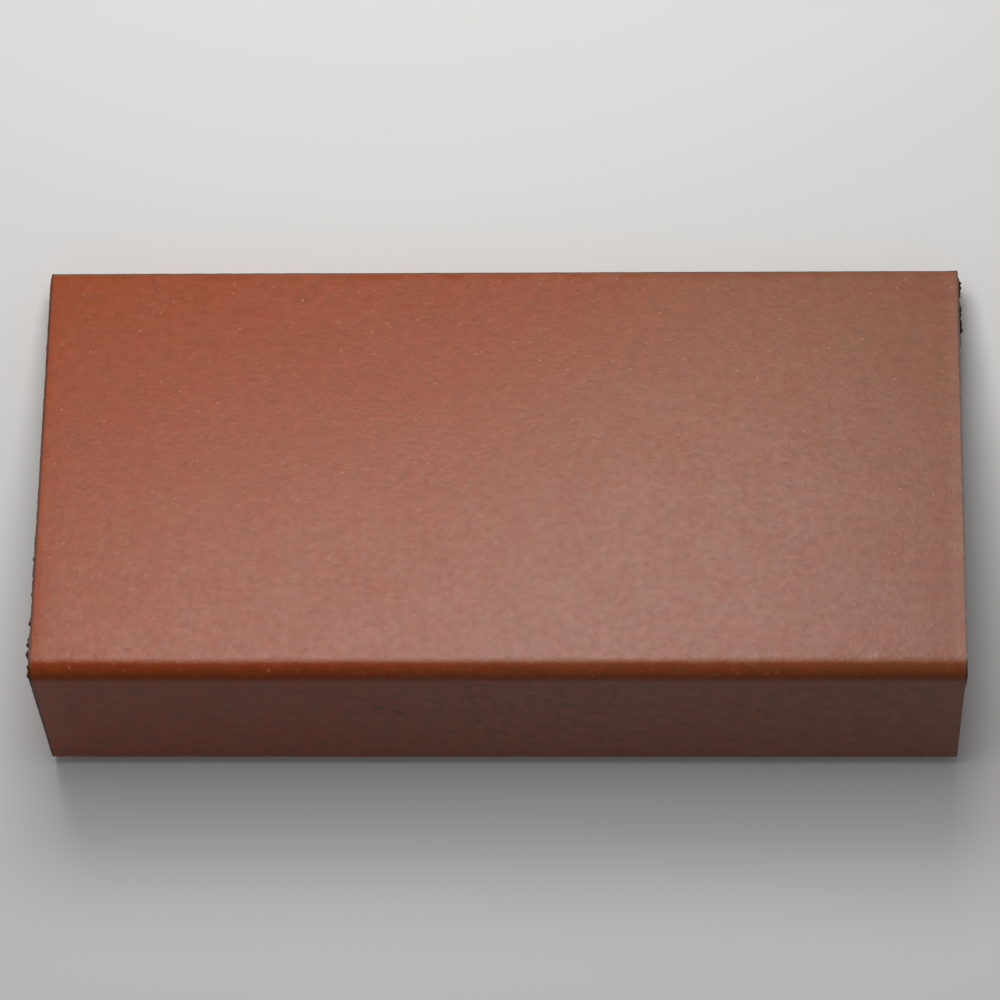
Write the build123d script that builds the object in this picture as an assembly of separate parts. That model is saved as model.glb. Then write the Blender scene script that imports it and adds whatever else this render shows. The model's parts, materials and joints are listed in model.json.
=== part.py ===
from build123d import *

import math
import os

# Clinker angle stair tread: an L-section pushed through a die, wire-cut to length
# and fired in one piece. The plate is stepped on, the leg hangs over the riser.

# Driving dimensions, in millimetres
LENGTH = 240.0           # along the nosing, between the two wire-cut ends
DEPTH = 115.0            # from the front face to the back edge
LEG_HEIGHT = 56.0        # from the tread face to the foot of the leg
PLATE_THICKNESS = 11.0   # from the tread face to the key ribs under it
LEG_THICKNESS = 11.0     # from the front face to the key ribs behind it
NOSING_RADIUS = 5.0      # rounded front edge that the foot lands on
INNER_RADIUS = 4.0       # fillet between the plate and the leg
EDGE_RADIUS = 0.8        # die-worn edges of the back and of the foot

# Dovetail grooves that key the tread into its mortar bed
KEY_DEPTH = 1.5
KEY_MOUTH = 6.0
KEY_ROOT = 7.0
KEY_PITCH = 13.0
KEY_MARGIN = 3.0         # least plain land left at each end of a row
KEY_OVERCUT = 1.0        # how far a groove's cutter stands out of the face it cuts


def key_centres(start, stop):
    """Groove centres at the key pitch, centred on the flat that runs from start to stop."""
    room = stop - start - 2 * KEY_MARGIN - KEY_ROOT
    count = int(room // KEY_PITCH) + 1 if room >= 0 else 0
    first = (start + stop - (count - 1) * KEY_PITCH) / 2
    return [first + i * KEY_PITCH for i in range(count)]


# Section of the bare L: front face on X 0, tread face on Y 0, foot of the leg lowest
outline = FilletPolyline(
    (0, 0),
    (DEPTH, 0),
    (DEPTH, -PLATE_THICKNESS),
    (LEG_THICKNESS, -PLATE_THICKNESS),
    (LEG_THICKNESS, -LEG_HEIGHT),
    (0, -LEG_HEIGHT),
    radius=[NOSING_RADIUS, EDGE_RADIUS, EDGE_RADIUS, INNER_RADIUS, EDGE_RADIUS, EDGE_RADIUS],
    close=True,
)
section = make_face(outline)

# One key groove, its mouth on the X axis and its wider root above it
groove = make_face(
    Polyline(
        (-KEY_MOUTH / 2, -KEY_OVERCUT),
        (KEY_MOUTH / 2, -KEY_OVERCUT),
        (KEY_MOUTH / 2, 0),
        (KEY_ROOT / 2, KEY_DEPTH),
        (-KEY_ROOT / 2, KEY_DEPTH),
        (-KEY_MOUTH / 2, 0),
        close=True,
    )
)

# Grooves under the plate, between the inner fillet and the back edge
for y in key_centres(LEG_THICKNESS + INNER_RADIUS, DEPTH - EDGE_RADIUS):
    section -= Pos(y, -PLATE_THICKNESS) * groove

# Grooves behind the leg, between the inner fillet and the foot
for drop in key_centres(PLATE_THICKNESS + INNER_RADIUS, LEG_HEIGHT - EDGE_RADIUS):
    section -= Pos(LEG_THICKNESS, -drop) * Rot(0, 0, 90) * groove

# The column of clay, cut to length both ways from the middle
tread = extrude(Plane.YZ * section, LENGTH / 2, both=True)

# At rest on a level floor it leans back onto the heel of the leg and the rear lower edge
REST_TILT = math.degrees(math.atan2(LEG_HEIGHT - PLATE_THICKNESS, DEPTH - LEG_THICKNESS))
tread = Rot(-REST_TILT, 0, 0) * tread
box = tread.bounding_box()
tread = Pos(-box.center().X, -box.center().Y, -box.min.Z) * tread

os.makedirs("parts", exist_ok=True)
export_step(tread, "parts/stair_tread.step")
print(f"rest tilt {REST_TILT:.3f} deg, box {tread.bounding_box().size}, volume {tread.volume:.0f} mm3")
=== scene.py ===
# %% [markdown]
# # A clinker stair tread
# A stair tread of red clinker: a flat plate to step on, with a rounded nosing and a short leg that
# hangs over the riser. The clay leaves a die as one long L-shaped column, wires cut it to length, and
# it is fired hard in a kiln. So the model is made in that order too: draw the section, push it along
# its length, roughen what the wire and the kiln roughened, then give it its fired finish.

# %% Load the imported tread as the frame
import json
import math

import bmesh
import bpy
from mathutils import Euler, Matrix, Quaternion, Vector


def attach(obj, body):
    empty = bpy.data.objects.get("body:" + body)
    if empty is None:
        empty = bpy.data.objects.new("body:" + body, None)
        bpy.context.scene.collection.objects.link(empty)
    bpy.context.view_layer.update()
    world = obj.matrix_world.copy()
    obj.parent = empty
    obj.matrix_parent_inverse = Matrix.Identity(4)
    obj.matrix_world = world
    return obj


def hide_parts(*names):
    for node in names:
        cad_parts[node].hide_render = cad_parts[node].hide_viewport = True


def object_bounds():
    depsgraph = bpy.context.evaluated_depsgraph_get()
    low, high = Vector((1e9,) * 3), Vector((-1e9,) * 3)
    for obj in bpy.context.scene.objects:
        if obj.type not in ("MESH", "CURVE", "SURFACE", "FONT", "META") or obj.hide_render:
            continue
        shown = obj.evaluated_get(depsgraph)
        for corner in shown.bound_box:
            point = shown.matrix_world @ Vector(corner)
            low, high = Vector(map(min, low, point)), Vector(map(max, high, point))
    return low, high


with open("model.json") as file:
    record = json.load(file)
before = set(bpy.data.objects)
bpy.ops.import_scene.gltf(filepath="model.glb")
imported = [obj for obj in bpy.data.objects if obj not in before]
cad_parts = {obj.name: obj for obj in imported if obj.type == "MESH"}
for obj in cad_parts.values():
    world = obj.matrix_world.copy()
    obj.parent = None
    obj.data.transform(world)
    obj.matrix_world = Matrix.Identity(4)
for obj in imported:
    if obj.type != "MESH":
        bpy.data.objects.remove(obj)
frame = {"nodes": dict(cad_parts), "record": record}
cad_low, cad_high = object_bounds()
print("CAD box", tuple(cad_low), tuple(cad_high))

# %% [markdown]
# ## Sizes and directions
# At rest the tread leans back on the heel of its leg and its rear lower edge. Modelling is easier with
# the tread level, so the frame's mounts give its own directions: UP out of the face that is stepped on,
# BACK from the front face to the back edge. CORNER is where those two faces would meet if the nosing
# were sharp, and it is the origin while the tread is modelled. Reading the sizes from the frame, and
# not typing them again, keeps the model on the part if a size changes.

# %% Read the tread's own directions and sizes
MM = 0.001
NODE = "stair_tread"
mounts = {mount["name"]: mount for mount in frame["record"]["mounts"]}


def mount_place(name):
    return Vector(mounts[name]["pos_m"])


UP = Vector(mounts["tread_face"]["axis"])
BACK = Vector(mounts["back_joint"]["axis"])
TILT = math.atan2(UP.y, UP.z)
CORNER = UP * UP.dot(mount_place("tread_face")) + BACK * BACK.dot(mount_place("front_face"))
cad_points = [vertex.co - CORNER for vertex in frame["nodes"][NODE].data.vertices]

LENGTH = cad_high.x - cad_low.x
DEPTH = max(BACK.dot(point) for point in cad_points)
LEG_HEIGHT = -min(UP.dot(point) for point in cad_points)
PLATE_THICKNESS = UP.dot(mount_place("tread_face") - mount_place("plate_bed"))
LEG_THICKNESS = BACK.dot(mount_place("leg_bed") - mount_place("front_face"))
for name, size in (("length", LENGTH), ("depth", DEPTH), ("leg", LEG_HEIGHT), ("plate", PLATE_THICKNESS)):
    print(f"{name} {size / MM:.2f} mm")
print(f"lean {math.degrees(TILT):.2f} degrees")

# %% [markdown]
# ## Picking by place
# Working by hand, one clicks on the edges or faces to change. A script picks them by where they are.
# This helper selects the vertices, edges or faces whose middle passes a test, so that the next
# operator acts on them alone.


# %% Pick parts of a mesh by where they are
def pick(piece, kind, test):
    """In edit mode, selects the elements whose middle passes the test, and returns how many."""
    bpy.ops.mesh.select_mode(type=kind)
    bpy.ops.mesh.select_all(action="DESELECT")
    mesh = bmesh.from_edit_mesh(piece.data)
    chosen = 0
    for element in {"VERT": mesh.verts, "EDGE": mesh.edges, "FACE": mesh.faces}[kind]:
        places = [element.co] if kind == "VERT" else [vertex.co for vertex in element.verts]
        if test(sum(places, Vector()) / len(places), places):
            element.select_set(True)
            chosen += 1
    bmesh.update_edit_mesh(piece.data)
    return chosen


def near(a, b, reach=0.01 * MM):
    return abs(a - b) < reach


# %% [markdown]
# ## The section
# The die gives the tread its L-section: the rounded nosing, the fillet inside the corner and the worn
# edges. A cube could be bevelled into this, but a flat drawing of the section is closer to how the
# thing is made, and its corners can be rounded before anything is long. It starts as a plane of the
# plate's end, standing across the length. A cut and an extruded edge give the leg, and once the two are
# one face, bevelled vertices give the six rounded corners.

# %% Draw the L from a plane
NOSING_RADIUS = 5 * MM
INNER_RADIUS = 4 * MM
EDGE_RADIUS = 0.8 * MM
NOSING_STEPS = 12
FILLET_STEPS = 4
EDGE_STEPS = 2

bpy.ops.object.select_all(action="DESELECT")
bpy.ops.mesh.primitive_plane_add(
    size=1,
    location=(-LENGTH / 2, DEPTH / 2, -PLATE_THICKNESS / 2),
    rotation=(math.radians(90), 0, math.radians(90)),
)
tread = bpy.context.object
tread.name = "clinker_tread"
tread.scale = (DEPTH, PLATE_THICKNESS, 1)
bpy.ops.object.transform_apply(location=True, rotation=True, scale=True)

bpy.ops.object.mode_set(mode="EDIT")
bpy.ops.mesh.select_all(action="SELECT")
bpy.ops.mesh.bisect(plane_co=(0, LEG_THICKNESS, 0), plane_no=(0, 1, 0))
pick(tread, "EDGE", lambda m, _: near(m.z, -PLATE_THICKNESS) and m.y < LEG_THICKNESS)
leg_drop = LEG_HEIGHT - PLATE_THICKNESS
bpy.ops.mesh.extrude_region_move(TRANSFORM_OT_translate={"value": (0, 0, -leg_drop)})
bpy.ops.mesh.select_all(action="SELECT")
bpy.ops.mesh.dissolve_limited(angle_limit=math.radians(1))

corners = [
    (0, 0, NOSING_RADIUS, NOSING_STEPS),
    (LEG_THICKNESS, -PLATE_THICKNESS, INNER_RADIUS, FILLET_STEPS),
    (DEPTH, 0, EDGE_RADIUS, EDGE_STEPS),
    (DEPTH, -PLATE_THICKNESS, EDGE_RADIUS, EDGE_STEPS),
    (0, -LEG_HEIGHT, EDGE_RADIUS, EDGE_STEPS),
    (LEG_THICKNESS, -LEG_HEIGHT, EDGE_RADIUS, EDGE_STEPS),
]
for y, z, radius, steps in corners:
    pick(tread, "VERT", lambda m, _: near(m.y, y) and near(m.z, z))
    bpy.ops.mesh.bevel(affect="VERTICES", offset=radius, segments=steps, profile=0.5)
print("section corners", len(bmesh.from_edit_mesh(tread.data).verts))

# %% [markdown]
# ## Lines across the section
# Later the surface gets real relief, so it needs points to move. Straight cuts through the section, a
# little over a millimetre apart, give every face and both ends an even lattice. Some of the cuts fall
# on the edges of the dovetail grooves that key the underside into its mortar, so that each groove is
# simply the cells between four cuts, deleted, with its two root corners pulled apart. One more cut, a
# guard just inside each worn edge, keeps its rounding from spreading over the flat when it is shaded.

# %% Cut the section into a lattice
KEY_DEPTH = 1.5 * MM
KEY_MOUTH = 6 * MM
KEY_ROOT = 7 * MM
KEY_PITCH = 13 * MM
KEY_MARGIN = 3 * MM
CELL = 1.2 * MM
GUARD = 0.15 * MM


def key_centres(start, stop):
    """Groove centres at the key pitch, centred on the flat that runs from start to stop."""
    count = int((stop - start - 2 * KEY_MARGIN - KEY_ROOT) // KEY_PITCH) + 1
    first = (start + stop - (count - 1) * KEY_PITCH) / 2
    return [first + i * KEY_PITCH for i in range(count)]


def lattice(stops):
    """The stops, with evenly spaced places between them about a cell apart."""
    places = []
    for start, stop in zip(stops, stops[1:]):
        count = max(1, round((stop - start) / CELL))
        places += [start + (stop - start) * i / count for i in range(count)]
    return places[1:]


def mouths(centres):
    return [centre + side * KEY_MOUTH / 2 for centre in centres for side in (-1, 1)]


plate_keys = key_centres(LEG_THICKNESS + INNER_RADIUS, DEPTH - EDGE_RADIUS)
leg_keys = key_centres(PLATE_THICKNESS + INNER_RADIUS, LEG_HEIGHT - EDGE_RADIUS)
root_depth = PLATE_THICKNESS - KEY_DEPTH
nosing_turns = [i / NOSING_STEPS * math.pi / 2 for i in range(1, NOSING_STEPS)]
nosing_stops = [NOSING_RADIUS * (1 - math.cos(turn)) for turn in nosing_turns]
inner = LEG_THICKNESS - KEY_DEPTH
plate_stops = [inner, LEG_THICKNESS, LEG_THICKNESS + INNER_RADIUS, *mouths(plate_keys)]
leg_stops = [root_depth, PLATE_THICKNESS, PLATE_THICKNESS + INNER_RADIUS, *mouths(leg_keys)]
edge_stops = [-EDGE_RADIUS - GUARD, -EDGE_RADIUS, 0]
plate_stops += [DEPTH + stop for stop in edge_stops]
leg_stops += [LEG_HEIGHT + stop for stop in edge_stops]
depth_cuts = nosing_stops + [NOSING_RADIUS] + lattice([NOSING_RADIUS, *plate_stops])
height_cuts = nosing_stops + [NOSING_RADIUS] + lattice([NOSING_RADIUS, *leg_stops])

for y in depth_cuts:
    bpy.ops.mesh.select_all(action="SELECT")
    bpy.ops.mesh.bisect(plane_co=(0, y, 0), plane_no=(0, 1, 0), threshold=0.01 * MM)
for z in height_cuts:
    bpy.ops.mesh.select_all(action="SELECT")
    bpy.ops.mesh.bisect(plane_co=(0, 0, -z), plane_no=(0, 0, 1), threshold=0.01 * MM)
print("cuts", len(depth_cuts), "across the plate,", len(height_cuts), "down the leg")


# %% Open the dovetail grooves
def in_key(place, centres):
    return any(abs(place - centre) < KEY_MOUTH / 2 for centre in centres)


def root_side(place, centres):
    """Which way a groove's root corner at this place is pulled: -1, 1, or 0 where there is none."""
    for centre in centres:
        for side in (-1, 1):
            if near(place, centre + side * KEY_MOUTH / 2):
                return side
    return 0


pick(tread, "FACE", lambda m, _: m.z < -root_depth and m.z > -PLATE_THICKNESS and in_key(m.y, plate_keys))
bpy.ops.mesh.delete(type="FACE")
pick(tread, "FACE", lambda m, _: m.y > inner and m.y < LEG_THICKNESS and in_key(-m.z, leg_keys))
bpy.ops.mesh.delete(type="FACE")

UNDERCUT = (KEY_ROOT - KEY_MOUTH) / 2
for side in (-1, 1):
    pick(tread, "VERT", lambda m, _: near(m.z, -root_depth) and root_side(m.y, plate_keys) == side)
    bpy.ops.transform.translate(value=(0, side * UNDERCUT, 0))
    pick(tread, "VERT", lambda m, _: near(m.y, inner) and root_side(-m.z, leg_keys) == side)
    bpy.ops.transform.translate(value=(0, 0, -side * UNDERCUT))
print("grooves", len(plate_keys), "under the plate,", len(leg_keys), "behind the leg")

# %% [markdown]
# ## Pushing the column out
# The section is now extruded along the nosing, as the press does it, a hair short at each end: the
# crumbs that the cutting wire drags over the rim stand proud by that much. The long edges are then cut
# into steps, short ones near the two ends, where the torn rim has to be fine, and longer ones between.
# The end faces and the last ring beside them are divided once more.

# %% Extrude the section and divide its length
BURR = 0.8 * MM
RIM = 3.2 * MM
RIM_STEPS = 8
FINE_RIM = 0.85 * MM
STEP = 1.3 * MM
MIDDLE_PARTS = 16
END = LENGTH / 2 - BURR


def lengthwise(places, shortest):
    return abs(places[0].x - places[-1].x) > shortest


bpy.ops.mesh.select_all(action="SELECT")
bpy.ops.transform.translate(value=(BURR, 0, 0))
bpy.ops.mesh.extrude_region_move(TRANSFORM_OT_translate={"value": (2 * END, 0, 0)})
bpy.ops.mesh.select_all(action="SELECT")
bpy.ops.mesh.normals_make_consistent(inside=False)
for x in (-END + RIM, END - RIM):
    bpy.ops.mesh.select_all(action="SELECT")
    bpy.ops.mesh.bisect(plane_co=(x, 0, 0), plane_no=(1, 0, 0))

middle_run = 2 * (END - RIM)
middle_steps = round(middle_run / MIDDLE_PARTS / STEP)
pick(tread, "EDGE", lambda m, places: lengthwise(places, middle_run / 2))
bpy.ops.mesh.subdivide(number_cuts=MIDDLE_PARTS - 1)
pick(tread, "EDGE", lambda m, places: lengthwise(places, 2 * RIM))
bpy.ops.mesh.subdivide(number_cuts=middle_steps - 1)
pick(tread, "EDGE", lambda m, places: lengthwise(places, RIM / 2) and abs(m.x) > END - RIM)
bpy.ops.mesh.subdivide(number_cuts=RIM_STEPS - 1)
pick(tread, "FACE", lambda m, _: abs(m.x) > END - FINE_RIM)
bpy.ops.mesh.subdivide(number_cuts=1)
bpy.ops.object.mode_set(mode="OBJECT")
print("faces", len(tread.data.polygons), "points", len(tread.data.vertices))

# %% [markdown]
# ## Which finish goes where
# The faces that slid through the die are dense and smooth, the keyed faces that sit in mortar are
# rougher, and the two ends are torn by the wire. Each gets a material slot now, while the ends are
# still flat and easy to pick. The materials themselves are filled in further down.

# %% Give the skin, the bed and the ends their slots
FINISHES = ("clinker_skin", "clinker_bed", "clinker_cut")
SLACK = 0.02 * MM


def is_bed(place):
    """True on the keyed faces: under the plate or behind the leg."""
    under = place.z < -root_depth + SLACK and place.y > LEG_THICKNESS
    behind = place.y > inner - SLACK and place.z < -PLATE_THICKNESS
    return (under or behind) and place.y < DEPTH - EDGE_RADIUS and place.z > -LEG_HEIGHT + EDGE_RADIUS


for finish in FINISHES:
    tread.data.materials.append(bpy.data.materials.new(finish))
bpy.ops.object.mode_set(mode="EDIT")
beds = pick(tread, "FACE", lambda m, _: is_bed(m) and abs(m.x) < END - SLACK)
tread.active_material_index = FINISHES.index("clinker_bed")
bpy.ops.object.material_slot_assign()
cuts = pick(tread, "FACE", lambda m, _: abs(m.x) > END - SLACK)
tread.active_material_index = FINISHES.index("clinker_cut")
bpy.ops.object.material_slot_assign()
bpy.ops.object.mode_set(mode="OBJECT")
print("faces in the bed", beds, "and on the ends", cuts)

# %% [markdown]
# ## Relief
# A fired clinker is never quite flat or straight. One could sculpt it, but a Displace modifier with a
# noise texture does the same evenly and gives the same result each run. Each use has its own weight for
# every point, so that the wire's marks stay on the ends and chips stay on the edges. All of it goes
# inwards, except the burr, which rises no further than the part's own length.


# %% A helper that pushes points by a texture
def clouds(name, size, contrast=1.0, depth=2):
    texture = bpy.data.textures.new(name, "CLOUDS")
    texture.noise_scale = size
    texture.noise_depth = depth
    texture.contrast = contrast
    texture.use_clamp = True
    return texture


def relief(name, texture, strength, weight_at, direction="NORMAL", stretch=(1, 1, 1), mid_level=0.0):
    """Displaces the tread's points by a texture, as far as each point's weight lets it."""
    group = tread.vertex_groups.new(name=name)
    weighted = 0
    for vertex in tread.data.vertices:
        weight = weight_at(vertex.co)
        if weight > 0:
            group.add([vertex.index], min(weight, 1), "REPLACE")
            weighted += 1
    bpy.ops.object.select_all(action="DESELECT")
    bpy.ops.object.empty_add(location=(0, 0, 0))
    guide = bpy.context.object
    guide.scale = stretch
    bpy.context.view_layer.update()
    bpy.context.view_layer.objects.active = tread
    push = tread.modifiers.new(name, "DISPLACE")
    if texture:
        push.texture = texture
        push.texture_coords = "OBJECT"
        push.texture_coords_object = guide
    push.vertex_group = group.name
    push.direction = direction
    push.strength = strength
    push.mid_level = mid_level
    bpy.ops.object.modifier_apply(modifier=push.name)
    tread.vertex_groups.remove(tread.vertex_groups[name])
    bpy.data.objects.remove(guide)
    print(name, "moved", weighted, "points")


def fade(distance, reach):
    return max(0.0, 1 - max(0.0, distance) / reach)


def skin_depth(place):
    """How deep a point lies under the tread's outer faces, seen along its length."""
    if place.y < NOSING_RADIUS and place.z > -NOSING_RADIUS:
        return NOSING_RADIUS - math.hypot(NOSING_RADIUS - place.y, NOSING_RADIUS + place.z)
    return min(place.y, -place.z, DEPTH - place.y, LEG_HEIGHT + place.z)


# %% Wear the long edges and the faces
def edge_weight(place):
    """Weight near the long edges at the back and at the foot."""
    spots = ((DEPTH, 0), (DEPTH, -PLATE_THICKNESS), (0, -LEG_HEIGHT), (LEG_THICKNESS, -LEG_HEIGHT))
    worn = max(fade(math.hypot(place.y - y, place.z - z) - EDGE_RADIUS, 0.5 * MM) for y, z in spots)
    return worn * min(1, max(0, END - abs(place.x)) / FINE_RIM)


def face_weight(place):
    return min(1, max(0, END - abs(place.x)) / RIM)


def nosing_weight(place):
    past = max(place.y, -place.z) - NOSING_RADIUS
    return fade(past, 4 * MM) * face_weight(place)


relief("chipped", clouds("chipped", 3.0 * MM, contrast=2.6), -0.06 * MM, edge_weight)
relief("warped", clouds("warped", 45 * MM), -0.12 * MM, face_weight)
relief("rippled", clouds("rippled", 5 * MM), -0.006 * MM, face_weight, stretch=(1.3, 1, 1))
relief("nosing_worn", clouds("nosing_worn", 6 * MM, contrast=1.5), -0.14 * MM, nosing_weight)


# %% Round the ends a little and set the right leg back
def near_end(place, reach):
    return fade(END - abs(place.x), reach) ** 2


def at_left_top(place):
    return fade(END + place.x, 5 * MM) ** 2 * fade(-place.z, 3 * MM)


def at_front(place):
    return near_end(place, 4 * MM) * fade(place.y, 3 * MM)


def right_leg(place):
    return fade(END - place.x, 30 * MM) * min(1, max(0, -place.z - 2 * MM) / (10 * MM))


relief("left_top", None, -0.20 * MM, at_left_top, "Z")
relief("front_ends", None, 0.09 * MM, at_front, "Y")
relief("right_leg", None, -0.5 * MM, right_leg, "X")
for side in (-1, 1):
    def end_corners(place, side=side):
        spots = ((DEPTH, 0), (DEPTH, -PLATE_THICKNESS), (0, -LEG_HEIGHT))
        away = min(math.hypot(place.y - y, place.z - z) for y, z in spots)
        return fade(END - side * place.x, 4 * MM) * fade(away, 2.5 * MM) ** 2

    relief("corners", None, -side * 0.7 * MM, end_corners, "X")

# %% Roughen the wire-cut ends
ALONG_THE_CUT = (1000, 1, 3)
ACROSS_THE_CUT = (1000, 1, 1)
for side, name in ((-1, "left"), (1, "right")):
    def torn_weight(place, side=side):
        inside = 0.2 + 0.8 * min(1, skin_depth(place) / (1.2 * MM))
        return fade(END - side * place.x, RIM) * inside

    def rim_weight(place, side=side):
        return fade(END - side * place.x, 1.2 * MM) * fade(skin_depth(place), 1.0 * MM)

    torn = clouds(name + "_torn", 2.2 * MM, contrast=1.4)
    relief(name + "_torn", torn, -side * 0.42 * MM, torn_weight, "X", ALONG_THE_CUT)
    crumbled = clouds(name + "_crumbled", 2.0 * MM, contrast=2.2)
    relief(name + "_crumbled", crumbled, -side * 0.15 * MM, rim_weight, "X", ACROSS_THE_CUT)

# %% [markdown]
# The wire also leaves a burr: crumbs that hang on the rim just below the face it leaves. Their near-black
# colour, set in the clinker_cut material below, is painted shadow. On this tread they sit towards the
# front of the left end and at the back of the right end.

# %% Raise the burr, crumb by crumb
LEFT_CRUMBS = (
    (30, 9, 0.35),
    (15.0, 1.2, 0.8),
    (9.6, 1.6, 1.0),
    (5.9, 1.9, 1.0),
    (2.2, 1.6, 0.7),
)
RIGHT_CRUMBS = (
    (112.4, 1.3, 1.0),
    (108.9, 2.4, 0.7),
    (103.8, 2.5, 0.75),
    (98.8, 2.6, 0.7),
    (94.6, 1.8, 0.4),
)
BURR_MIDDLE = 1.7 * MM
BURR_SPREAD = 1.5 * MM

for name, side, crumbs in (("left", -1, LEFT_CRUMBS), ("right", 1, RIGHT_CRUMBS)):
    def crumb_at(place):
        """Height of the burr beside a point: each crumb has its middle, half length and height."""
        across = ((abs(place.y / MM - middle) / half, high) for middle, half, high in crumbs)
        near_tread = fade(-place.z - 4 * MM, 3 * MM)
        return near_tread * max(high * math.sqrt(max(0, 1 - off * off)) for off, high in across)

    def burr_weight(place):
        band = fade(abs(skin_depth(place) - BURR_MIDDLE) - 0.6 * MM, BURR_SPREAD)
        return crumb_at(place) * band * fade(END - side * place.x, 0.7 * MM)

    def torn_rim(place):
        return crumb_at(place) * fade(skin_depth(place), 0.7 * MM) * fade(END - side * place.x, 1.5 * MM)

    relief(name + "_torn_rim", None, -side * 0.25 * MM, torn_rim, "X")
    crumbly = clouds(name + "_crumbs", 1.2 * MM, contrast=1.8, depth=1)
    relief(name + "_burr", crumbly, side * 2.2 * MM, burr_weight, "X", ACROSS_THE_CUT)
    bpy.ops.object.mode_set(mode="EDIT")
    proud = pick(tread, "VERT", lambda m, _: side * m.x > LENGTH / 2)
    if proud:
        bpy.ops.transform.resize(value=(0, 1, 1), center_override=(side * LENGTH / 2, 0, 0))
    bpy.ops.object.mode_set(mode="OBJECT")
    print(name, "burr, points cut back to length:", proud)

# %% [markdown]
# ## Into place
# The finished tread leans back by its rest angle and moves to where the part lies. The turn and the
# move are made on the mesh in edit mode, so the object itself stays at the origin, as the frame's do.

# %% Lean the tread back onto the floor
bpy.ops.object.select_all(action="DESELECT")
tread.select_set(True)
bpy.ops.object.mode_set(mode="EDIT")
bpy.ops.mesh.select_all(action="SELECT")
bpy.ops.transform.rotate(value=TILT, orient_axis="X", center_override=(0, 0, 0))
bpy.ops.transform.translate(value=CORNER)
bpy.ops.object.mode_set(mode="OBJECT")
bpy.ops.object.shade_smooth_by_angle(angle=math.radians(50))
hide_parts(NODE)
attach(tread, "root")
tread_low, tread_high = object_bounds()
print("tread box", tuple(tread_low), tuple(tread_high))

# %% [markdown]
# ## Building materials from nodes
# A few small helpers keep the node code short: they add a node with its settings and the values of its
# sockets, do sums, map a value to a range, mix two colours and start a group. Every pattern is measured
# in millimetres on the level tread, so the place of a point is its object coordinate, turned back by
# the lean and counted from CORNER.


# %% Node helpers
def add(tree, kind, sockets=None, **settings):
    """Adds a node, sets it up, and links or sets each socket that is given."""
    made = tree.nodes.new(kind)
    for name, value in settings.items():
        setattr(made, name, value)
    for name, value in (sockets or {}).items():
        if isinstance(value, bpy.types.NodeSocket):
            tree.links.new(value, made.inputs[name])
        else:
            made.inputs[name].default_value = value
    return made


def maths(tree, operation, first, second=0.0):
    return add(tree, "ShaderNodeMath", {0: first, 1: second}, operation=operation).outputs[0]


def ramp(tree, value, start, stop, low=0.0, high=1.0):
    """Maps a value smoothly from start..stop to low..high."""
    sockets = {"Value": value, "From Min": start, "From Max": stop, "To Min": low, "To Max": high}
    return add(tree, "ShaderNodeMapRange", sockets, interpolation_type="SMOOTHSTEP").outputs["Result"]


def mixed(tree, factor, first, second, blend="MIX"):
    """Mixes two colours, given as sockets or as red, green and blue."""
    made = add(tree, "ShaderNodeMix", data_type="RGBA", blend_type=blend)
    ends = {socket.identifier: socket for socket in made.inputs}
    for name, value in (("Factor_Float", factor), ("A_Color", first), ("B_Color", second)):
        if isinstance(value, bpy.types.NodeSocket):
            tree.links.new(value, ends[name])
        elif name == "Factor_Float":
            ends[name].default_value = value
        else:
            ends[name].default_value = (*value, 1)
    return next(socket for socket in made.outputs if socket.identifier == "Result_Color")


def new_group(name, inputs, outputs):
    """A node group with its sockets: inputs and outputs are (name, kind, default) or (name, kind)."""
    tree = bpy.data.node_groups.new(name, "ShaderNodeTree")
    for socket_name, kind, *default in inputs:
        socket = tree.interface.new_socket(socket_name, in_out="INPUT", socket_type="NodeSocket" + kind)
        if default:
            socket.default_value = default[0]
    for socket_name, kind in outputs:
        tree.interface.new_socket(socket_name, in_out="OUTPUT", socket_type="NodeSocket" + kind)
    return tree, tree.nodes.new("NodeGroupInput").outputs, tree.nodes.new("NodeGroupOutput").inputs


# %% [markdown]
# ## Fired colour
# The clay fires to a saturated red-brown. Where the flame reached it, it stays a warm orange-red, and
# away from it the body turns browner and duller. Over that lie soft mottling and a grain as fine as
# the clay itself. The group takes a place in millimetres and gives a colour.

# %% The fired colour group
fired, took, gave = new_group(
    "fired_colour",
    [("Place", "Vector"), ("Grain", "Float", 1.0)],
    [("Colour", "Color")],
)
WARM = (0.278, 0.0550, 0.0145)
BODY = (0.262, 0.0535, 0.0150)
BROWN = (0.245, 0.0650, 0.0245)
DULL = (0.222, 0.0715, 0.0345)
along = add(fired, "ShaderNodeSeparateXYZ", {"Vector": took["Place"]}).outputs
flame = add(fired, "ShaderNodeTexNoise", {"Vector": took["Place"], "Scale": 1 / 60, "Detail": 1.0})
drift = maths(fired, "MULTIPLY", maths(fired, "SUBTRACT", flame.outputs["Fac"], 0.5), 45.0)
slant = maths(fired, "MULTIPLY", maths(fired, "SUBTRACT", along["Y"], 60.0), -0.4)
reach = maths(fired, "ADD", maths(fired, "ADD", along["X"], slant), drift)
far = maths(fired, "ADD", maths(fired, "SUBTRACT", along["X"], slant), drift)
warm = mixed(fired, ramp(fired, reach, -120, -10), WARM, BODY)
brown = mixed(fired, ramp(fired, reach, -25, 40), warm, BROWN)
body = mixed(fired, ramp(fired, far, 25, 125), brown, DULL)
mottle = add(fired, "ShaderNodeTexNoise", {"Vector": took["Place"], "Scale": 1 / 7, "Detail": 2.0})
PALER = (0.98, 1.035, 1.01)
REDDER = (1.02, 0.96, 0.99)
hue = mixed(fired, ramp(fired, mottle.outputs["Fac"], 0.3, 0.7), PALER, REDDER)
grain = add(fired, "ShaderNodeTexNoise", {"Vector": took["Place"], "Scale": 1 / 0.5, "Detail": 1.0})
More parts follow.
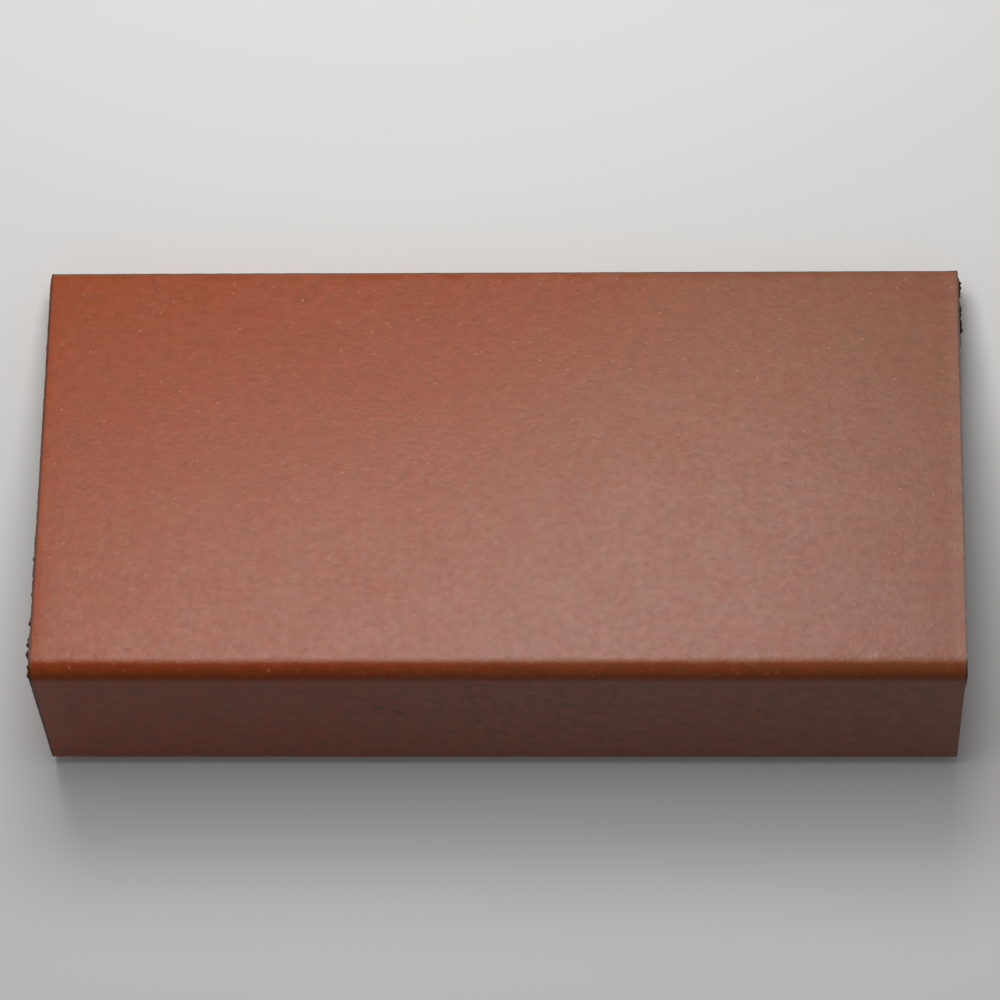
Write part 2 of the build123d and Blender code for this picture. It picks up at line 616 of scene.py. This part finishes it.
gritty = maths(fired, "MULTIPLY", maths(fired, "SUBTRACT", grain.outputs["Fac"], 0.5), took["Grain"])
soft = add(fired, "ShaderNodeTexNoise", {"Vector": took["Place"], "Scale": 1 / 3.2, "Detail": 1.0})
cloudy = maths(fired, "MULTIPLY", maths(fired, "SUBTRACT", soft.outputs["Fac"], 0.5), 0.34)
level = maths(fired, "ADD", maths(fired, "ADD", 1.0, cloudy), maths(fired, "MULTIPLY", gritty, 0.16))
shade = add(fired, "ShaderNodeCombineXYZ", {"X": level, "Y": level, "Z": level}).outputs["Vector"]
patchy = mixed(fired, 1.0, body, hue, "MULTIPLY")
fired.links.new(mixed(fired, 1.0, patchy, shade, "MULTIPLY"), gave["Colour"])
print("fired colour group nodes", len(fired.nodes))

# %% [markdown]
# ## Specks
# Crushed fired clay in the mix shows as pale specks. They are scattered dots, so this group has a
# Voronoi texture drop one point into each cell. A share of the cells keep theirs, and how near the
# surface passes to the point gives dots of different sizes. The dark iron specks, the finest grains
# and the pits that fallen grains leave are taken further down from plain noise, of which only the peaks
# or the valleys are kept: that looks the same so small, and renders in less time.

# %% The specks group
specks, took, gave = new_group(
    "specks",
    [("Place", "Vector"), ("Cell", "Float", 3.0), ("Size", "Float", 0.3), ("Share", "Float", 0.5)],
    [("Mask", "Float")],
)
density = maths(specks, "DIVIDE", 1.0, took["Cell"])
dots = add(specks, "ShaderNodeTexVoronoi", {"Vector": took["Place"], "Scale": density})
radius = maths(specks, "DIVIDE", took["Size"], took["Cell"])
luck = add(specks, "ShaderNodeSeparateColor", {"Color": dots.outputs["Color"]}).outputs
kept = maths(specks, "LESS_THAN", luck["Red"], took["Share"])
force = ramp(specks, luck["Green"], 0, 1, 0.25, 1)
inside = ramp(specks, dots.outputs["Distance"], radius, maths(specks, "MULTIPLY", radius, 0.3))
specks.links.new(maths(specks, "MULTIPLY", inside, maths(specks, "MULTIPLY", kept, force)), gave["Mask"])
print("specks group nodes", len(specks.nodes))


# %% [markdown]
# ## One recipe, three finishes
# The skin, the bed and the cut ends are the same clay, so one function builds all three materials from
# the two groups, and only the amounts differ. Height is counted in millimetres and the Bump node's
# distance is one millimetre, so the grain is as deep as it says. Thin lines along the sharp edges and
# the nosing band, where the light falls off over its curve, are darkened with painted shade. Y plus Z
# tells where a point lies around the nosing: it falls from the radius on the tread face to minus the
# radius on the leg.


# %% Where a point lies
def placed(tree):
    """The place on the level tread, in millimetres from the sharp front corner."""
    level = CORNER.copy()
    level.rotate(Euler((TILT, 0, 0)))
    spot = add(tree, "ShaderNodeTexCoord").outputs["Object"]
    sockets = {"Vector": spot, "Location": -level / MM, "Rotation": (TILT, 0, 0), "Scale": (1 / MM,) * 3}
    return add(tree, "ShaderNodeMapping", sockets).outputs["Vector"]


def stretched(tree, vector, scale):
    return add(tree, "ShaderNodeMapping", {"Vector": vector, "Scale": scale}).outputs["Vector"]


def noise(tree, vector, size, detail=1.0):
    sockets = {"Vector": vector, "Scale": 1 / size, "Detail": detail}
    return add(tree, "ShaderNodeTexNoise", sockets).outputs["Fac"]


def frayed(tree, place, reach):
    """The place, shaken to and fro by up to half the reach, which gives dots ragged outlines."""
    sockets = {"Vector": place, "Scale": 2.0, "Detail": 0.0}
    shake = add(tree, "ShaderNodeTexNoise", sockets).outputs["Color"]
    sockets = {0: shake, 1: (reach,) * 3, 2: place}
    return add(tree, "ShaderNodeVectorMath", sockets, operation="MULTIPLY_ADD").outputs["Vector"]


def stroke(tree, place, middle, turn, half_length, half_width):
    """A scratch on the front face: a thin patch turned about Y, as a mask."""
    sockets = {
        "Vector": place,
        "Location": (middle[0], 0, middle[1]),
        "Rotation": (0, math.radians(turn), 0),
        "Scale": (half_length, 2.0, half_width),
    }
    local = add(tree, "ShaderNodeMapping", sockets, vector_type="TEXTURE").outputs["Vector"]
    reach = add(tree, "ShaderNodeVectorMath", {0: local}, operation="LENGTH").outputs["Value"]
    return ramp(tree, reach, 1.0, 0.3)


# %% The clinker recipe
SCRATCHES = (
    ((-30.8, -21.8), 46, 2.9, 1.3),
    ((-26.0, -25.0), 44, 3.4, 1.1),
    ((43.0, -18.0), 20, 1.6, 0.6),
)
# Painted shade: the nosing band is darkened by this factor, where the light falls off over its curve.
NOSING_PAINTED_SHADE = (0.77, 0.63, 0.40)
PALE_SPECK = (0.42, 0.20, 0.13)
DARK_SPECK = (0.07, 0.020, 0.012)
# Painted shade in the pits: they are darkened in colour as well as dented by the bump.
PIT_PAINTED_SHADE = (0.09, 0.022, 0.010)
# A paler, greyer band along the back edge of the tread face.
BACK_EDGE_PALE = (0.200, 0.105, 0.078)
# Painted shade: near-black lines along the back edge, the foot and the end rims.
EDGE_PAINTED_SHADE = (0.046, 0.028, 0.021)
# Painted shadow: near-black colour for the burr that stands past the cut.
BURR_PAINTED_SHADOW = (0.012, 0.006, 0.005)
# Painted shade, in patches: darkens the front face, which turns away from the soft boxes, and also
# mottles it.
FRONT_SHADE_MOTTLE = (0.105, 0.042, 0.018)
SCRATCH_SHADE = (0.075, 0.020, 0.009)


def clinker(finish, grain, pale, dark, pits, roughness, grit, gloss, leg_roughness=None, drag=0.0):
    """Fills one finish: grain and drag in millimetres of height, drag only where the wire tore it."""
    material = bpy.data.materials[finish]
    material.use_nodes = True
    tree = material.node_tree
    shader = tree.nodes["Principled BSDF"]
    shader.inputs["Specular IOR Level"].default_value = gloss
    place = placed(tree)
    parts = add(tree, "ShaderNodeSeparateXYZ", {"Vector": place}).outputs
    across = maths(tree, "ABSOLUTE", parts["X"])
    around = maths(tree, "ADD", parts["Y"], parts["Z"])
    colour = add(tree, "ShaderNodeGroup", node_tree=fired)
    tree.links.new(place, colour.inputs["Place"])
    colour.inputs["Grain"].default_value = grit

    def tinted(base, mask, amount, shade):
        return mixed(tree, maths(tree, "MULTIPLY", mask, amount), base, shade)

    scattered = add(tree, "ShaderNodeGroup", {"Cell": 2.9, "Size": 0.50, "Share": pale}, node_tree=specks)
    tree.links.new(frayed(tree, place, 0.6), scattered.inputs["Place"])
    pale_dots = scattered.outputs["Mask"]
    dark_dots = ramp(tree, noise(tree, place, 1.0, 0.0), 0.72 - dark / 4, 0.80 - dark / 4)
    gritty = noise(tree, place, 1.3, 0.0)
    grains = ramp(tree, gritty, 0.60, 0.80)
    pit_dots = ramp(tree, gritty, 0.30 + pits / 8, 0.22 + pits / 8)
    # Painted shade mask over the nosing band.
    nosing_shade_mask = maths(tree, "MULTIPLY", ramp(tree, around, 4.8, 2.0), ramp(tree, around, -6.5, -2.5))
    top_side = ramp(tree, parts["Z"], -1.4, -0.7)
    front_side = ramp(tree, parts["Y"], 1.4, 0.7)
    end, back_edge, foot = END / MM, DEPTH / MM, -LEG_HEIGHT / MM
    # Thin bands along the ends (left, rim), the back edge (back) and the foot (low) take painted shade
    # below.
    left = ramp(tree, parts["X"], -end + 0.95, -end + 0.55)
    rim = maths(tree, "MAXIMUM", left, ramp(tree, parts["X"], end - 0.80, end - 0.40))
    # Paler, greyer band along the back edge of the tread face.
    pale_back_band = maths(tree, "MULTIPLY", ramp(tree, parts["Y"], back_edge - 1.3, back_edge - 0.8), top_side)
    back = maths(tree, "MULTIPLY", ramp(tree, parts["Y"], back_edge - 0.70, back_edge - 0.40), top_side)
    low = ramp(tree, parts["Z"], foot + 0.9, foot + 0.2)
    edges = maths(tree, "MAXIMUM", back, maths(tree, "MULTIPLY", low, front_side))
    # Painted shade on the nosing.
    base = mixed(tree, nosing_shade_mask, colour.outputs["Colour"], NOSING_PAINTED_SHADE, "MULTIPLY")
    base = tinted(base, pale_dots, 0.45, PALE_SPECK)
    base = tinted(base, grains, 0.06, PALE_SPECK)
    base = tinted(base, dark_dots, 0.07, DARK_SPECK)
    # Painted shade in the pits.
    base = tinted(base, pit_dots, 0.06, PIT_PAINTED_SHADE)
    base = tinted(base, pale_back_band, 0.60, BACK_EDGE_PALE)
    # Painted shade along the back edge and the foot of the front face.
    base = tinted(base, edges, 0.80, EDGE_PAINTED_SHADE)
    # Painted shadow: on the cut ends the burr standing past the cut is coloured near black.
    if drag:
        proud = maths(tree, "SUBTRACT", across, end)
        base = mixed(tree, ramp(tree, proud, -0.15, 0.1), base, BURR_PAINTED_SHADOW)
    else:
        # Painted shade along the rims at both ends.
        base = tinted(base, rim, 0.80, EDGE_PAINTED_SHADE)

    sandy = maths(tree, "MULTIPLY", noise(tree, place, 0.55), 0.4)
    lumpy = maths(tree, "MULTIPLY", noise(tree, place, 3.2, 0.0), 0.8)
    clay = maths(tree, "ADD", maths(tree, "ADD", noise(tree, place, 1.2), sandy), lumpy)
    near_nosing = maths(tree, "MULTIPLY", ramp(tree, around, 9.0, 4.0), ramp(tree, around, -2.0, 2.0))
    coarse = maths(tree, "ADD", grain, maths(tree, "MULTIPLY", near_nosing, 0.035))
    height = maths(tree, "MULTIPLY", clay, coarse)
    dashes = ramp(tree, noise(tree, stretched(tree, place, (0.4, 1, 1)), 0.7, 0.0), 0.66, 0.82)
    for mask, rise in ((pale_dots, 0.022), (pit_dots, -0.005), (grains, 0.005), (dashes, -0.004)):
        height = maths(tree, "ADD", height, maths(tree, "MULTIPLY", mask, rise))
    if drag:
        streaks = noise(tree, stretched(tree, place, (1, 1, 0.15)), 0.8, 2.0)
        height = maths(tree, "ADD", height, maths(tree, "MULTIPLY", streaks, drag))

    broad = noise(tree, place, 14, 2.0)
    patchy = maths(tree, "MULTIPLY", maths(tree, "SUBTRACT", noise(tree, place, 2.2, 2.0), 0.5), 0.17)
    worn = maths(tree, "ADD", patchy, ramp(tree, broad, 0.3, 0.7, roughness - 0.012, roughness + 0.012))
    if leg_roughness:
        worn = maths(tree, "ADD", worn, ramp(tree, around, 1.0, -5.0, 0.0, leg_roughness - roughness))
        # Painted shade in patches over the front face, which also mottles it.
        front_patches = ramp(tree, noise(tree, place, 4.5, 3.0), 0.40, 0.70)
        front_shade_and_mottle = maths(tree, "MULTIPLY", front_patches, ramp(tree, around, -4, -8))
        base = tinted(base, front_shade_and_mottle, 0.45, FRONT_SHADE_MOTTLE)
        for middle, turn, half_length, half_width in SCRATCHES:
            scratch = stroke(tree, place, middle, turn, half_length, half_width)
            base = tinted(base, scratch, 0.70, SCRATCH_SHADE)
            height = maths(tree, "SUBTRACT", height, maths(tree, "MULTIPLY", scratch, 0.05))
    worn = maths(tree, "ADD", worn, maths(tree, "MULTIPLY", pit_dots, 0.022))
    tree.links.new(base, shader.inputs["Base Color"])
    tree.links.new(worn, shader.inputs["Roughness"])
    bump = add(tree, "ShaderNodeBump", {"Height": height, "Distance": MM, "Strength": 1.0})
    tree.links.new(bump.outputs["Normal"], shader.inputs["Normal"])
    print(finish, "nodes", len(tree.nodes))


clinker(
    "clinker_skin", grain=0.017, pale=0.80, dark=0.25, pits=0.40,
    roughness=0.285, leg_roughness=0.45, grit=1.0, gloss=0.226,
)
clinker(
    "clinker_bed", grain=0.090, pale=0.60, dark=0.30, pits=0.70,
    roughness=0.60, grit=1.3, gloss=0.20,
)
clinker(
    "clinker_cut", grain=0.160, pale=0.80, dark=0.50, pits=0.90,
    roughness=0.70, grit=1.8, gloss=0.10, drag=0.25,
)

# %% [markdown]
# ## Studio
# A plain pale floor, a soft box behind the tread with a weaker one above it, and a little light from
# all round. The reflection of the two lies as a pale haze over the tread face, fades over the nosing,
# and leaves the front face dark. Both boxes hang a little askew, so the haze runs slantwise. The camera
# looks almost straight down through a long lens.

# %% Floor, light and camera
bpy.ops.object.select_all(action="DESELECT")
bpy.ops.mesh.primitive_plane_add(size=6, location=(0, 0, 0))
floor = bpy.context.object
floor.name = "floor"
pale_floor = bpy.data.materials.new("pale_floor")
pale_floor.use_nodes = True
floor_shader = pale_floor.node_tree.nodes["Principled BSDF"].inputs
floor_shader["Base Color"].default_value = (0.72, 0.72, 0.72, 1)
floor_shader["Roughness"].default_value = 1
floor.data.materials.append(pale_floor)

LIGHT_REACH = 0.66
LIGHT_WIDTH = 0.38
LIGHT_SIDE = -0.038
LIGHT_ROLL = math.radians(10)
AIM = Vector((0, 0, 0.03))


def soft_light(name, low_edge, high_edge, energy):
    """A soft box behind the tread, from one height angle to another, in degrees."""
    middle = math.radians(low_edge + high_edge) / 2
    half = math.radians(high_edge - low_edge) / 2
    place = Vector((LIGHT_SIDE, LIGHT_REACH * math.cos(middle), AIM.z + LIGHT_REACH * math.sin(middle)))
    facing = (AIM - place).to_track_quat("-Z", "Y") @ Quaternion((0, 0, 1), LIGHT_ROLL)
    bpy.ops.object.light_add(type="AREA", location=place, rotation=facing.to_euler())
    lamp = bpy.context.object
    lamp.name = name
    lamp.data.shape = "RECTANGLE"
    lamp.data.size = LIGHT_WIDTH
    lamp.data.size_y = 2 * LIGHT_REACH * math.tan(half)
    lamp.data.energy = energy
    lamp.data.color = (1, 0.99, 0.96)


soft_light("low_box", low_edge=39.85, high_edge=56.0, energy=2.48)
soft_light("high_box", low_edge=56.0, high_edge=78.0, energy=1.48)

world = bpy.data.worlds.new("studio")
bpy.context.scene.world = world
world.use_nodes = True
all_round = world.node_tree.nodes["Background"].inputs
all_round["Color"].default_value = (1, 1, 1, 1)
all_round["Strength"].default_value = 0.184
bpy.context.scene.view_settings.view_transform = "Standard"

bpy.ops.object.camera_add(
    location=(54.0 * MM, -33.0 * MM, 1348.7 * MM),
    rotation=(math.radians(1.572), math.radians(2.345), math.radians(-0.04)),
)
camera = bpy.context.object
camera.data.lens = 184.2
camera.data.sensor_width = 36
bpy.context.scene.camera = camera
